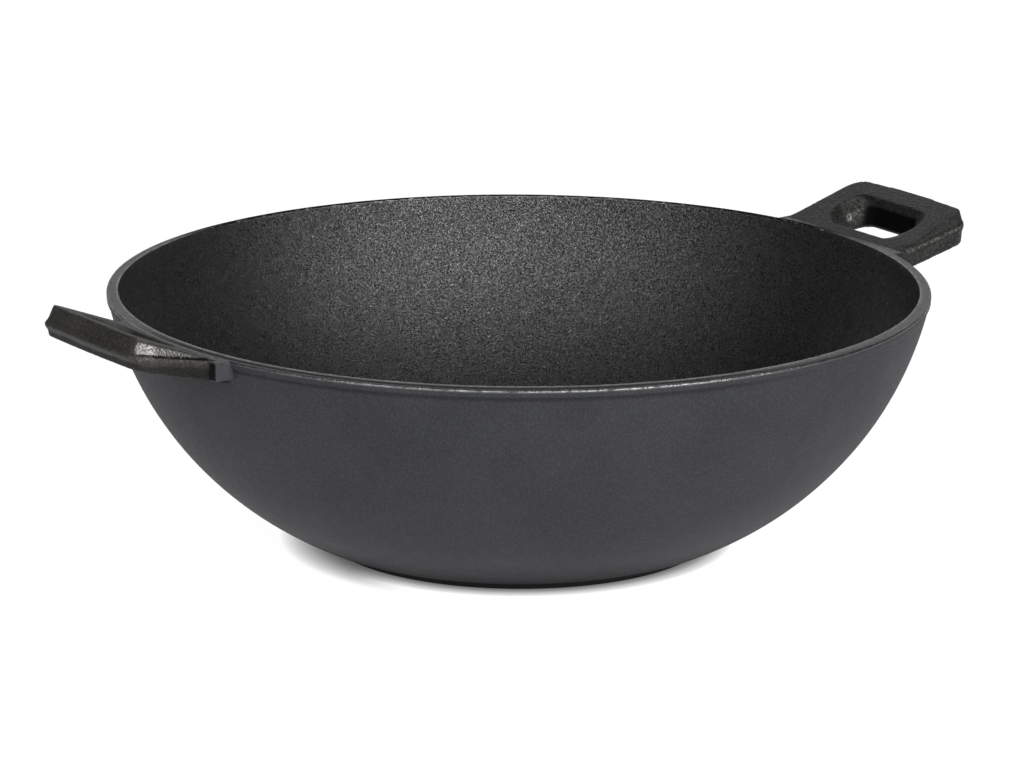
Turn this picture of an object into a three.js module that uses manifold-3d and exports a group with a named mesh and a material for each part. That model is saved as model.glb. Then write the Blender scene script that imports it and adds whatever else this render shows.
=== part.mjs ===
// A cast-iron grill wok: a round bowl on a low foot ring, with a loop handle on each side.
// Millimetres, +Z up. The origin is the middle of the foot, on the surface that the wok stands on.
// +X runs through the middle of the right handle.

import * as THREE from 'three';
import { mergeVertices } from 'three/addons/utils/BufferGeometryUtils.js';
import Module from 'manifold-3d';

// Bowl
const RIM_RADIUS = 180; // outside of the bead round the rim
const RIM_HEIGHT = 113.7; // highest edge of the rim, above the surface that the wok stands on
const SIDE_ARC_RADIUS = 151; // of the one arc that the outside of the side follows
const WALL = 5; // of the side, square to its surface
const BASE_RADIUS = 89; // of the flat underside, where the side starts
const FLOOR_THICKNESS = 5; // of the flat cooking floor
const FLOOR_BLEND_RADIUS = 60; // between the cooking floor and the inside of the side

// Rim
const BEAD_HEIGHT = 4.4; // of the band round the outside of the rim
const BEAD_PROUD = 0.9; // how far the band stands out of the side
const RIM_FALL = 0.7; // how much lower the outer edge of the rim is than the inner one
const RIM_OUTER_RADIUS = 1.2; // of the rim's outer edge
const RIM_INNER_RADIUS = 0.6; // of the rim's inner edge

// Foot
const FOOT_INSET = 4.4; // from the edge of the underside to the outside of the foot
const FOOT_WIDTH = 12; // of the ring
const FOOT_HEIGHT = 3; // of the ring, under the bowl
const FOOT_EDGE = 0.6; // chamfer where the ring meets the table

// Handles: the outline is widest at the parting line, and both faces draw in from there
const HANDLE_REACH = 40; // from the rim to the outermost edge
const HANDLE_ROOT_HALF_WIDTH = 42.6; // at the rim
const HANDLE_END_HALF_WIDTH = 40.4; // at the outer end
const HANDLE_CORNER_RADIUS = 10.5; // of the two outer corners, in plan
const PARTING_DROP = 0.9; // how far below the rim the parting line starts
const PARTING_RISE_DEG = 11.5; // slope of the parting line and of the underside
const PARTING_LAND = 3.5; // upright band at the parting line
const UNDER_DEPTH = 7.6; // from the parting line down to the underside
const UNDER_SIDE_INSET = 1.2; // how far the underside's outline lies inside the parting line at the sides
const UNDER_END_INSET = 2.6; // the same at the outer end
const TOP_DROP = 0.2; // how far below the rim the top face starts
const TOP_RISE_DEG = 20.3; // slope of the top face
const TOP_ROOT_INSET = 1; // how far the top's outline lies inside the parting line at the rim
const TOP_SIDE_INSET = 3; // the same at the sides, by the outer corners
const TOP_END_INSET = 3; // the same at the outer end

// Finger hole: straight below its waist, and flared above it, most of all at its two ends
const HOLE_START = 5; // from the rim to the waist's near edge
const HOLE_LENGTH = 22.2; // of the waist, along the handle's reach
const HOLE_HALF_WIDTH = 21; // of the waist
const HOLE_CORNER_RADIUS = 8; // of the waist's corners
const HOLE_WAIST_DEPTH = 0.3; // of the waist, below the parting line
const HOLE_NEAR_FLARE = 0.8; // on the bowl's side, up to the top face
const HOLE_FAR_FLARE = 1.1; // on the outer side, up to the top face
const HOLE_END_FLARE = 7.7; // at the two ends, up to the top face
const HOLE_TOP_CORNER_RADIUS = 10.5; // of the corners at the top face
const HOLE_UNDER_DRAW = 0.8; // how far the outer side and the ends close in, down to the underside

// Root pad: the flat-faced block that the handle grows out of
const PAD_PROUD = 2.2; // from the rim to the pad's outer face
const PAD_HALF_WIDTH = 45.2; // to the pad's end faces
const PAD_DROP = 0.6; // how far below the rim its upper edge lies
const PAD_HEIGHT = 8.2; // from its lower edge to its upper one
const PAD_EDGE = 1; // chamfer along its lower and upper edges
const PAD_CORNER_RADIUS = 1.5; // of its upright corners

// Seams and fineness
const SEAM = 0.3; // between the bowl and a handle's root
const ROOT_SINK = 25; // how far the uncut handle reaches inside the rim
const CUT_MARGIN = 10; // how far a cutter runs past what it cuts
const ROUND_SEGMENTS = 96; // round the bowl and the foot
const SIDE_STEPS = 10; // along the side's arc
const BLEND_STEPS = 4; // along the floor's blend
const EDGE_STEPS = 2; // along a rounded edge of the rim
const CORNER_STEPS = 6; // along a rounded corner of a handle

const wasm = await Module();
wasm.setup();

// Materials
const bowlIron = new THREE.MeshStandardMaterial({ color: 0x45464a, roughness: 0.5, metalness: 0.6 });
const footIron = new THREE.MeshStandardMaterial({ color: 0x1d1d1f, roughness: 0.7, metalness: 0.4 });
const handleIron = new THREE.MeshStandardMaterial({ color: 0x3f3d3b, roughness: 0.55, metalness: 0.6 });

// Points along a circular arc; the angles are in radians, anticlockwise from the first axis.
function arc(centre, radius, from, to, steps) {
  const curve = new THREE.ArcCurve(centre.x, centre.y, radius, from, to, to < from);
  return curve.getPoints(steps);
}

// The centre of the arc of a given radius that bulges to the right on its way from one point to another.
function arcCentre(from, to, radius) {
  const chord = to.clone().sub(from);
  const toCentre = new THREE.Vector2(-chord.y, chord.x).normalize();
  const depth = Math.sqrt(radius ** 2 - chord.lengthSq() / 4);
  return from.clone().add(to).divideScalar(2).addScaledVector(toCentre, depth);
}

// A closed outline whose corners { x, y, radius } are rounded by arcs; a corner of radius 0 stays sharp.
function roundedOutline(corners) {
  return corners.flatMap((corner, i) => {
    const at = new THREE.Vector2(corner.x, corner.y);
    if (corner.radius === 0) return [at];
    const before = corners[(i + corners.length - 1) % corners.length];
    const after = corners[(i + 1) % corners.length];
    const back = new THREE.Vector2(before.x, before.y).sub(at).normalize();
    const ahead = new THREE.Vector2(after.x, after.y).sub(at).normalize();
    const half = Math.acos(back.dot(ahead)) / 2;
    const inward = back.clone().add(ahead).normalize();
    const centre = at.clone().addScaledVector(inward, corner.radius / Math.sin(half));
    const middle = inward.negate().angle();
    const sweep = Math.PI / 2 - half;
    return arc(centre, corner.radius, middle - sweep, middle + sweep, CORNER_STEPS);
  });
}

// The closed skin over a stack of rings with equal counts of points, lowest first, anticlockwise from above.
function loft(rings) {
  const count = rings[0].length;
  const top = (rings.length - 1) * count;
  const index = [];
  for (let base = 0; base < top; base += count) {
    for (let i = 0; i < count; i += 1) {
      const here = base + i;
      const next = base + ((i + 1) % count);
      index.push(here, next, next + count, here, next + count, here + count);
    }
  }
  for (let i = 1; i + 1 < count; i += 1) {
    index.push(0, i + 1, i, top, top + i, top + i + 1);
  }
  const geometry = new THREE.BufferGeometry().setFromPoints(rings.flat());
  geometry.setIndex(index);
  return geometry;
}

// A solid of revolution about Z from an outline of (radius, height) points.
function turned(profile) {
  return new THREE.LatheGeometry(profile, ROUND_SEGMENTS).rotateX(Math.PI / 2);
}

function solidOf(geometry) {
  const bare = geometry.clone();
  bare.deleteAttribute('normal');
  bare.deleteAttribute('uv');
  const merged = mergeVertices(bare);
  const vertProperties = merged.getAttribute('position').array;
  const triVerts = Uint32Array.from(merged.index.array);
  return new wasm.Manifold(new wasm.Mesh({ numProp: 3, vertProperties, triVerts }));
}

function geometryOf(solid) {
  const { vertProperties, triVerts } = solid.getMesh();
  const geometry = new THREE.BufferGeometry();
  geometry.setAttribute('position', new THREE.BufferAttribute(vertProperties, 3));
  geometry.setIndex(new THREE.BufferAttribute(triVerts, 1));
  geometry.computeVertexNormals();
  return geometry;
}

// Bowl: its side is an arc from the edge of the underside to the foot of the rim's bead.
const sideStart = new THREE.Vector2(BASE_RADIUS, FOOT_HEIGHT);
const sideEnd = new THREE.Vector2(RIM_RADIUS - BEAD_PROUD, RIM_HEIGHT - BEAD_HEIGHT);
const sideCentre = arcCentre(sideStart, sideEnd, SIDE_ARC_RADIUS);

// The angle at which a point lies, seen from the centre of the side's arc; below that centre it is negative.
function sideAngle(point) {
  return Math.atan2(point.y - sideCentre.y, point.x - sideCentre.x);
}

// The outside of the bowl, from the edge of the underside to the outer edge of the rim.
function outsideProfile(grow) {
  const radius = SIDE_ARC_RADIUS + grow;
  const beadRadius = RIM_RADIUS + grow;
  return [
    ...arc(sideCentre, radius, sideAngle(sideStart), sideAngle(sideEnd), SIDE_STEPS),
    new THREE.Vector2(beadRadius, sideEnd.y + BEAD_PROUD),
  ];
}

function bowlProfile() {
  const innerRadius = SIDE_ARC_RADIUS - WALL;
  const floorHeight = FOOT_HEIGHT + FLOOR_THICKNESS;
  const blendHeight = floorHeight + FLOOR_BLEND_RADIUS;
  const blendReach = innerRadius - FLOOR_BLEND_RADIUS;
  const blendFall = sideCentre.y - blendHeight;
  const floorRadius = sideCentre.x + Math.sqrt(blendReach ** 2 - blendFall ** 2);
  const blendCentre = new THREE.Vector2(floorRadius, blendHeight);
  const blendEnd = sideAngle(blendCentre);
  const innerTop = Math.asin((RIM_HEIGHT - RIM_INNER_RADIUS - sideCentre.y) / innerRadius);
  const innerEdge = sideCentre.x + innerRadius * Math.cos(innerTop);
  const innerRound = new THREE.Vector2(innerEdge + RIM_INNER_RADIUS, RIM_HEIGHT - RIM_INNER_RADIUS);
  const outerRound = new THREE.Vector2(
    RIM_RADIUS - RIM_OUTER_RADIUS,
    RIM_HEIGHT - RIM_FALL - RIM_OUTER_RADIUS,
  );
  return [
    new THREE.Vector2(0, FOOT_HEIGHT),
    ...outsideProfile(0),
    ...arc(outerRound, RIM_OUTER_RADIUS, 0, Math.PI / 2, EDGE_STEPS),
    ...arc(innerRound, RIM_INNER_RADIUS, Math.PI / 2, Math.PI, EDGE_STEPS),
    ...arc(sideCentre, innerRadius, innerTop, blendEnd, SIDE_STEPS).slice(1),
    ...arc(blendCentre, FLOOR_BLEND_RADIUS, blendEnd, -Math.PI / 2, BLEND_STEPS).slice(1),
    new THREE.Vector2(0, floorHeight),
  ];
}

// Everything inside the outside of the bowl, grown by the seam, as the cutter for a handle's root.
function bowlCutter() {
  const above = RIM_HEIGHT + HANDLE_REACH;
  return solidOf(
    turned([
      new THREE.Vector2(0, FOOT_HEIGHT),
      ...outsideProfile(SEAM),
      new THREE.Vector2(RIM_RADIUS + SEAM, above),
      new THREE.Vector2(0, above),
    ]),
  );
}

// Foot: a flat ring under the bowl's base, with both edges at the table chamfered.
function footProfile() {
  const outer = BASE_RADIUS - FOOT_INSET;
  const inner = outer - FOOT_WIDTH;
  return [
    new THREE.Vector2(inner, FOOT_HEIGHT),
    new THREE.Vector2(inner, FOOT_EDGE),
    new THREE.Vector2(inner + FOOT_EDGE, 0),
    new THREE.Vector2(outer - FOOT_EDGE, 0),
    new THREE.Vector2(outer, FOOT_EDGE),
    new THREE.Vector2(outer, FOOT_HEIGHT),
    new THREE.Vector2(inner, FOOT_HEIGHT),
  ];
}

// Handle: its levels, each the height at some distance out from the rim; they slope outside it only.
const topRise = Math.tan(THREE.MathUtils.degToRad(TOP_RISE_DEG));
const partingRise = Math.tan(THREE.MathUtils.degToRad(PARTING_RISE_DEG));
const topLevel = (out) => RIM_HEIGHT - TOP_DROP + topRise * Math.max(out, 0);
const partingLevel = (out) => RIM_HEIGHT - PARTING_DROP + partingRise * Math.max(out, 0);
const underLevel = (out) => partingLevel(out) - UNDER_DEPTH;

// An outline lifted onto a sloping level, moved up by some height and out to the rim.
function lifted(outline, level, up = 0) {
  return outline.map(({ x, y }) => new THREE.Vector3(RIM_RADIUS + x, y, level(x) + up));
}

// The handle's outline in plan, drawn in from the parting line at the rim, at the sides and at the outer end.
function handleOutline(rootInset, sideInset, endInset) {
  const end = HANDLE_REACH - endInset;
  const rootHalf = HANDLE_ROOT_HALF_WIDTH - rootInset;
  const endHalf = HANDLE_END_HALF_WIDTH - sideInset;
  const radius = HANDLE_CORNER_RADIUS - sideInset;
  return roundedOutline([
    { x: 0, y: -rootHalf, radius: 0 },
    { x: end, y: -endHalf, radius },
    { x: end, y: endHalf, radius },
    { x: 0, y: rootHalf, radius: 0 },
    { x: -ROOT_SINK, y: rootHalf, radius: 0 },
    { x: -ROOT_SINK, y: -rootHalf, radius: 0 },
  ]);
}

// The finger hole's outline in plan, grown from its waist on the near side, the far side and at the ends.
function holeOutline(nearFlare, farFlare, endFlare, radius) {
  const near = HOLE_START - nearFlare;
  const far = HOLE_START + HOLE_LENGTH + farFlare;
  const half = HOLE_HALF_WIDTH + endFlare;
  return roundedOutline([
    { x: near, y: -half, radius },
    { x: far, y: -half, radius },
    { x: far, y: half, radius },
    { x: near, y: half, radius },
  ]);
}

// The root pad's outline in plan, drawn in by an inset.
function padOutline(inset) {
  const half = PAD_HALF_WIDTH - inset;
  return roundedOutline([
    { x: -ROOT_SINK, y: -half, radius: 0 },
    { x: PAD_PROUD - inset, y: -half, radius: PAD_CORNER_RADIUS },
    { x: PAD_PROUD - inset, y: half, radius: PAD_CORNER_RADIUS },
    { x: -ROOT_SINK, y: half, radius: 0 },
  ]);
}

function handleGeometry() {
  const parting = handleOutline(0, 0, 0);
  const loop = loft([
    lifted(handleOutline(UNDER_SIDE_INSET, UNDER_SIDE_INSET, UNDER_END_INSET), underLevel),
    lifted(parting, partingLevel, -PARTING_LAND),
    lifted(parting, partingLevel),
    lifted(handleOutline(TOP_ROOT_INSET, TOP_SIDE_INSET, TOP_END_INSET), topLevel),
  ]);
  const holeTop = holeOutline(HOLE_NEAR_FLARE, HOLE_FAR_FLARE, HOLE_END_FLARE, HOLE_TOP_CORNER_RADIUS);
  const holeUnder = holeOutline(0, -HOLE_UNDER_DRAW, -HOLE_UNDER_DRAW, HOLE_CORNER_RADIUS);
  const hole = loft([
    lifted(holeUnder, underLevel, -CUT_MARGIN),
    lifted(holeUnder, underLevel),
    lifted(holeOutline(0, 0, 0, HOLE_CORNER_RADIUS), partingLevel, -HOLE_WAIST_DEPTH),
    lifted(holeTop, topLevel),
    lifted(holeTop, topLevel, CUT_MARGIN),
  ]);
  const padTop = () => RIM_HEIGHT - PAD_DROP;
  const pad = loft([
    lifted(padOutline(PAD_EDGE), padTop, -PAD_HEIGHT),
    lifted(padOutline(0), padTop, PAD_EDGE - PAD_HEIGHT),
    lifted(padOutline(0), padTop, -PAD_EDGE),
    lifted(padOutline(PAD_EDGE), padTop),
  ]);
  const casting = solidOf(loop).add(solidOf(pad)).subtract(solidOf(hole));
  return geometryOf(casting.subtract(bowlCutter()));
}

function piece(name, geometry, material) {
  const mesh = new THREE.Mesh(geometry, material);
  mesh.name = name;
  return mesh;
}

const wok = new THREE.Group();
wok.name = 'grill_wok';
wok.add(piece('bowl', turned(bowlProfile()), bowlIron));
wok.add(piece('foot_ring', turned(footProfile()), footIron));

const handle = handleGeometry();
wok.add(piece('right_handle', handle, handleIron));
const oppositeSide = new THREE.Group();
oppositeSide.rotation.z = Math.PI;
oppositeSide.add(piece('left_handle', handle.clone(), handleIron.clone()));
wok.add(oppositeSide);

export default wok;
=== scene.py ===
"""Studio scene of a cast-iron grill wok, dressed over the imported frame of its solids."""
import logging
import math
from dataclasses import dataclass, replace
from enum import Enum
from typing import Callable

import bmesh
import bpy
from mathutils import Matrix, Vector
from mathutils.kdtree import KDTree


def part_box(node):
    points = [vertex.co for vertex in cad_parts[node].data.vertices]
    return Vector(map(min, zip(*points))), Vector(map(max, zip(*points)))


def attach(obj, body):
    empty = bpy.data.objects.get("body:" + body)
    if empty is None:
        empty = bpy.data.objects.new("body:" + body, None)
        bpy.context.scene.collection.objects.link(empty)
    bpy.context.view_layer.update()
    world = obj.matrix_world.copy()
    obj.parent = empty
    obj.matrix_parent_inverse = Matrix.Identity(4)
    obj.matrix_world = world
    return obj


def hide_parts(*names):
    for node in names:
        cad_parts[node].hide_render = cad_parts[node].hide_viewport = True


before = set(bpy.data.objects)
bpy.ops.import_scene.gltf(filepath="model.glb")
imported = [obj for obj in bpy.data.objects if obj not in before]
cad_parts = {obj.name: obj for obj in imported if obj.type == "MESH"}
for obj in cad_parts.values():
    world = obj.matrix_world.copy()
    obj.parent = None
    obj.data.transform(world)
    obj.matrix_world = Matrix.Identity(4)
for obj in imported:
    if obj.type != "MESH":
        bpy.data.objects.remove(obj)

log = logging.getLogger("grill_wok")

MM = 0.001
BODY = "root"
# Black for soot and for painted shade
SOOT_AND_SHADE_BLACK = (0.003, 0.003, 0.003, 1.0)
WHITE = (1.0, 1.0, 1.0)
BLACK = (0.0, 0.0, 0.0)
SOFT_ANGLE = math.radians(35)
PAD_SOFT_ANGLE = math.radians(25)
# Points along half of an outline's end, as shares of the way from its middle
END_SHARES = (0.75, 0.5, 0.25)
# How far a rounding stays short of its corner, as a share of its radius
CORNER_CUT = 0.3

Flat = tuple[float, float]
Point = tuple[float, float, float]
Colour = tuple[float, float, float]
Pairs = tuple[Flat, Flat]
Piece = bpy.types.Object
Socket = bpy.types.NodeSocket


class Side(Enum):
    """The side of the bowl that a handle grows from."""

    RIGHT = "right"
    LEFT = "left"

    @property
    def node(self) -> str:
        """The name of the solid that the handle stands for."""
        return f"{self.value}_handle"


def arc(centre: Flat, radius: float, start: float, end: float, steps: int) -> list[Flat]:
    """Points along a circular arc from one angle to another, in radians, with both of its ends."""
    angles = [start + (end - start) * i / steps for i in range(steps + 1)]
    return [(centre[0] + radius * math.cos(a), centre[1] + radius * math.sin(a)) for a in angles]


def arc_centre(start: Flat, end: Flat, radius: float) -> Flat:
    """The centre of an arc that bulges to the right on its way from one point to another.

    Args:
        start: The arc's first point.
        end: Its last point.
        radius: Its radius.

    Returns:
        The centre.
    """
    chord = Vector(end) - Vector(start)
    depth = math.sqrt(radius ** 2 - chord.length_squared / 4)
    centre = (Vector(start) + Vector(end)) / 2 + Vector((-chord.y, chord.x)).normalized() * depth
    return centre.x, centre.y


def rounded(corner: Flat, before: Flat, after: Flat, radius: float, steps: int) -> list[Flat]:
    """A corner of a line rounded by an arc.

    Args:
        corner: The corner's place.
        before: A point of the line before it.
        after: A point of the line after it.
        radius: The radius of the rounding.
        steps: How many straight steps the arc has.

    Returns:
        The points of the arc, in the line's own direction.
    """
    at = Vector(corner)
    back = (Vector(before) - at).normalized()
    ahead = (Vector(after) - at).normalized()
    half = back.angle(ahead) / 2
    inward = (back + ahead).normalized()
    centre = at + inward * (radius / math.sin(half))
    turn = 1 if back.x * ahead.y - back.y * ahead.x < 0 else -1
    middle = math.atan2(-inward.y, -inward.x)
    sweep = turn * (math.pi / 2 - half)
    return arc((centre.x, centre.y), radius, middle - sweep, middle + sweep, steps)


def direction(azimuth: float, elevation: float) -> Vector:
    """The direction from the wok to a viewer some degrees round it, from the front, and above it."""
    a, e = math.radians(azimuth), math.radians(elevation)
    return Vector((math.sin(a) * math.cos(e), -math.cos(a) * math.cos(e), math.sin(e)))


class Bench:
    """Blender's modelling operators, used on one piece at a time."""

    TOUCH = 0.02 * MM

    @staticmethod
    def begin(name: str) -> Piece:
        """Start an empty piece in edit mode.

        Args:
            name: The piece's name.

        Returns:
            The new object.
        """
        bpy.ops.object.select_all(action="DESELECT")
        bpy.ops.mesh.primitive_plane_add(size=MM)
        piece = bpy.context.object
        piece.name = name
        piece.data.name = name
        bpy.ops.object.mode_set(mode="EDIT")
        bpy.ops.mesh.select_all(action="SELECT")
        bpy.ops.mesh.delete(type="VERT")
        return piece

    @staticmethod
    def trace(points: list[Point]) -> None:
        """Draw a line of edges, by extruding a single vertex.

        Args:
            points: The points that the line goes through, in order.
        """
        bpy.ops.mesh.select_all(action="DESELECT")
        bpy.ops.mesh.primitive_plane_add(size=MM)
        bpy.ops.mesh.merge(type="CENTER")
        bpy.ops.transform.translate(value=points[0])
        for here, there in zip(points, points[1:]):
            step = tuple(b - a for a, b in zip(here, there))
            bpy.ops.mesh.extrude_vertices_move(TRANSFORM_OT_translate={"value": step})

    @classmethod
    def pick(cls, piece: Piece, points: list[Point]) -> None:
        """Select the vertices that lie at some points, and what joins them.

        Args:
            piece: The object, in edit mode.
            points: The places of the vertices.
        """
        tree = KDTree(len(points))
        for i, point in enumerate(points):
            tree.insert(point, i)
        tree.balance()
        bpy.ops.mesh.select_all(action="DESELECT")
        shape = bmesh.from_edit_mesh(piece.data)
        for vertex in shape.verts:
            vertex.select_set(tree.find(vertex.co)[2] < cls.TOUCH)
        shape.select_flush(True)
        bmesh.update_edit_mesh(piece.data)

    @classmethod
    def skin(cls, piece: Piece, rings: list[list[Point]], closed: bool) -> None:
        """Draw rings and skin the gaps between them.

        Args:
            piece: The object, in edit mode.
            rings: The points of each ring, from one end to the other.
            closed: Whether the last ring is joined to the first one, as on a loop.
        """
        for ring in rings:
            cls.trace(ring)
            cls.fill(piece, [ring[0], ring[-1]])
        for first, second in zip(rings, rings[1:] + rings[:1] if closed else rings[1:]):
            cls.pick(piece, first + second)
            bpy.ops.mesh.bridge_edge_loops()

    @classmethod
    def fill(cls, piece: Piece, points: list[Point]) -> None:
        """Join two points of a piece by an edge, or close a ring of them with one face."""
        cls.pick(piece, points)
        bpy.ops.mesh.edge_face_add()

    @staticmethod
    def lathe(profile: list[Flat], steps: int) -> None:
        """Trace a profile and spin it round the upright axis.

        Args:
            profile: Points of radius and height.
            steps: How many straight steps a turn has.
        """
        Bench.trace([(radius, 0.0, height) for radius, height in profile])
        bpy.ops.mesh.select_all(action="SELECT")
        bpy.ops.mesh.spin(steps=steps, angle=math.tau, center=(0, 0, 0), axis=(0, 0, 1))

    @staticmethod
    def close() -> None:
        """Merge doubles, turn all faces outwards and leave edit mode."""
        bpy.ops.mesh.select_all(action="SELECT")
        bpy.ops.mesh.remove_doubles(threshold=Bench.TOUCH)
        bpy.ops.mesh.normals_make_consistent(inside=False)
        bpy.ops.object.mode_set(mode="OBJECT")

    @staticmethod
    def modify(piece: Piece, kind: str, **settings: object) -> None:
        """Add a modifier to a piece and apply it.

        Args:
            piece: The object, in object mode.
            kind: The modifier's type.
            settings: Its settings by name.
        """
        modifier = piece.modifiers.new(kind.lower(), kind)
        for name, value in settings.items():
            setattr(modifier, name, value)
        bpy.context.view_layer.objects.active = piece
        bpy.ops.object.modifier_apply(modifier=modifier.name)

    @classmethod
    def roughen(cls, piece: Piece, size: float, depth: float) -> None:
        """Push a piece's skin in and out by a cloudy pattern, as a sand mould leaves it.

        Args:
            piece: The object, in object mode.
            size: The size of the pattern's humps, in metres.
            depth: The height of the humps, in metres.
        """
        pattern = bpy.data.textures.new(f"{piece.name}_skin", "CLOUDS")
        pattern.noise_scale = size
        cls.modify(piece, "DISPLACE", texture=pattern, texture_coords="LOCAL", strength=depth)


class Value:
    """A number in a node tree, whose arithmetic adds Math nodes."""

    def __init__(self, graph: "NodeGraph", socket: Socket) -> None:
        """Wrap an output socket of a node in a graph."""
        self.graph = graph
        self.socket = socket

    def math(self, operation: str, *operands: "Value | float") -> "Value":
        """The result of a Math node with some operation and inputs."""
        node = self.graph.add("ShaderNodeMath", {"operation": operation}, dict(enumerate(operands)))
        return Value(self.graph, node.outputs[0])

    def __add__(self, other: "Value | float") -> "Value":
        """Self plus other."""
        return self.math("ADD", self, other)

    __radd__ = __add__

    def __sub__(self, other: "Value | float") -> "Value":
        """Self minus other."""
        return self.math("SUBTRACT", self, other)

    def __rsub__(self, other: float) -> "Value":
        """Other minus self."""
        return self.math("SUBTRACT", other, self)

    def __mul__(self, other: "Value | float") -> "Value":
        """Self times other."""
        return self.math("MULTIPLY", self, other)

    __rmul__ = __mul__

    def __pow__(self, power: float) -> "Value":
        """Self to a power."""
        return self.math("POWER", self, power)

    def __abs__(self) -> "Value":
        """Self without its sign."""
        return self.math("ABSOLUTE", self)

    def hypot(self, other: "Value") -> "Value":
        """The length of a vector with these two legs."""
        return (self ** 2 + other ** 2) ** 0.5

    def most(self, other: "Value | float") -> "Value":
        """The larger of the two."""
        return self.math("MAXIMUM", self, other)

    def step(self, low: float, high: float) -> "Value":
        """A smooth step from 0 at low to 1 at high, or down where low is the larger one.

        Args:
            low: Where the step starts.
            high: Where it ends.

        Returns:
            A value from 0 to 1.
        """
        rising = {"From Min": min(low, high), "From Max": max(low, high)}
        ends = {"To Min": float(low > high), "To Max": float(low < high)}
        node = self.graph.add(
            "ShaderNodeMapRange",
            {"interpolation_type": "SMOOTHSTEP"},
            {"Value": self} | rising | ends,
        )
        return Value(self.graph, node.outputs[0])

    def band(self, lower: Flat, upper: Flat) -> "Value":
        """1 between two edges, 0 outside: where the step up starts and ends, and the step down."""
        return self.step(*lower) * self.step(upper[1], upper[0])


class NodeGraph:
    """The nodes of one material or world."""

    def __init__(self, owner: bpy.types.Material | bpy.types.World) -> None:
        """Clear an owner's nodes and start anew.

        Args:
            owner: The material or world.
        """
        owner.use_nodes = True
        self.tree = owner.node_tree
        self.tree.nodes.clear()

    def add(
        self, kind: str, settings: dict | None = None, sockets: dict | None = None
    ) -> bpy.types.Node:
        """Add a node.

        Args:
            kind: The node's type.
            settings: Its own settings by name, set first.
            sockets: Values or links of its inputs, by name or number.

        Returns:
            The node.
        """
        node = self.tree.nodes.new(kind)
        for name, value in (settings or {}).items():
            setattr(node, name, value)
        for name, value in (sockets or {}).items():
            source = value.socket if isinstance(value, Value) else value
            if isinstance(source, Socket):
                self.tree.links.new(source, node.inputs[name])
            else:
                node.inputs[name].default_value = source
        return node

    def place(self) -> Socket:
        """The place of a point on its piece, in metres."""
        return self.add("ShaderNodeTexCoord").outputs["Object"]

    def axes(self) -> tuple[Value, Value, Value]:
        """The three coordinates of a point on its piece, in metres."""
        return self.split(self.place())

    def split(self, vector: Socket) -> tuple[Value, Value, Value]:
        """The parts of a vector along x, y and z."""
        parts = self.add("ShaderNodeSeparateXYZ", {}, {0: vector}).outputs
        return Value(self, parts[0]), Value(self, parts[1]), Value(self, parts[2])

    def noise(self, size: float, detail: float = 2.0, roughness: float = 0.5) -> Value:
        """A cloudy pattern from 0 to 1, with blots of some size in metres and finer layers in them."""
        sockets = {"Vector": self.place(), "Scale": 1 / size, "Detail": detail, "Roughness": roughness}
        return Value(self, self.add("ShaderNodeTexNoise", {}, sockets).outputs[0])

    def specks(self, size: float, low: float, high: float) -> Value:
        """Fine spots, 1 where a rough pattern is above high and 0 where it is below low."""
        return self.noise(size, 3.0, 0.7).step(low, high)

    def mix(self, factor: Value, first: object, second: object) -> Socket:
        """A colour between two others, the first one where the factor is 0."""
        first, second = ((*end, 1.0) if isinstance(end, tuple) else end for end in (first, second))
        return self.add("ShaderNodeMix", {"data_type": "RGBA"}, {0: factor, 6: first, 7: second}).outputs[2]

    def blend(self, factor: object, first: object, second: object) -> Socket:
        """A shader between two others, the first one where the factor is 0."""
        return self.add("ShaderNodeMixShader", {}, {0: factor, 1: first, 2: second}).outputs[0]

    def bump(self, height: Value) -> Socket:
        """The surface's normal, tilted by a height in metres."""
        sockets = {"Strength": 1.0, "Distance": 1.0, "Height": height}
        return self.add("ShaderNodeBump", {}, sockets).outputs[0]

    def surface(self, shader: Socket) -> None:
        """Show a shader on the surface of the material."""
        self.add("ShaderNodeOutputMaterial", {}, {"Surface": shader})


@dataclass(frozen=True)
class Skin:
    """The look of a cast skin under its dark oil film.

    The film's colour goes over into the haze's in large clouds. The grain has a size and a depth, and
    its tips are more or less bare.
    """

    film: Colour
    haze: Colour
    roughness: float
    specular: float
    grain: float
    depth: float
    tips: float = 0.0
    cloud: float = 35 * MM
    dull_cloud: float = 6 * MM
    dullness: float = 0.12
    polish: float = 0.1
    metal_from: float = 0.48

    def shader(self, graph: NodeGraph, worn: Value, bare: Colour, soot_and_shade: Value) -> Socket:
        """Build the skin's shader.

        Args:
            graph: The material's nodes.
            worn: Where the film is rubbed off, from 0 to 1.
            bare: The colour of bare iron.
            soot_and_shade: Where the skin is matt and black, from 0 to 1: soot, and painted shade on some
                pieces.

        Returns:
            The shader socket.
        """
        film = graph.mix(graph.noise(self.cloud, 4.0).step(0.35, 0.7), self.film, self.haze)
        grain = graph.noise(self.grain, 3.0, 0.6)
        open_iron = worn.most(grain.step(0.44, 0.66) * self.tips)
        dull = graph.noise(self.dull_cloud, 4.0) - 0.5
        iron = graph.add(
            "ShaderNodeBsdfPrincipled",
            {},
            {
                "Base Color": graph.mix(open_iron, film, bare),
                "Metallic": open_iron.step(0.0, self.metal_from),
                "Roughness": self.roughness + self.dullness * dull - self.polish * worn,
                "Specular IOR Level": self.specular,
                "Normal": graph.bump(grain * self.depth),
            },
        )
        # Matt black for soot and for painted shade
        black = graph.add("ShaderNodeBsdfDiffuse", {}, {"Color": SOOT_AND_SHADE_BLACK})
        return graph.blend(soot_and_shade, iron.outputs[0], black.outputs[0])


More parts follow.
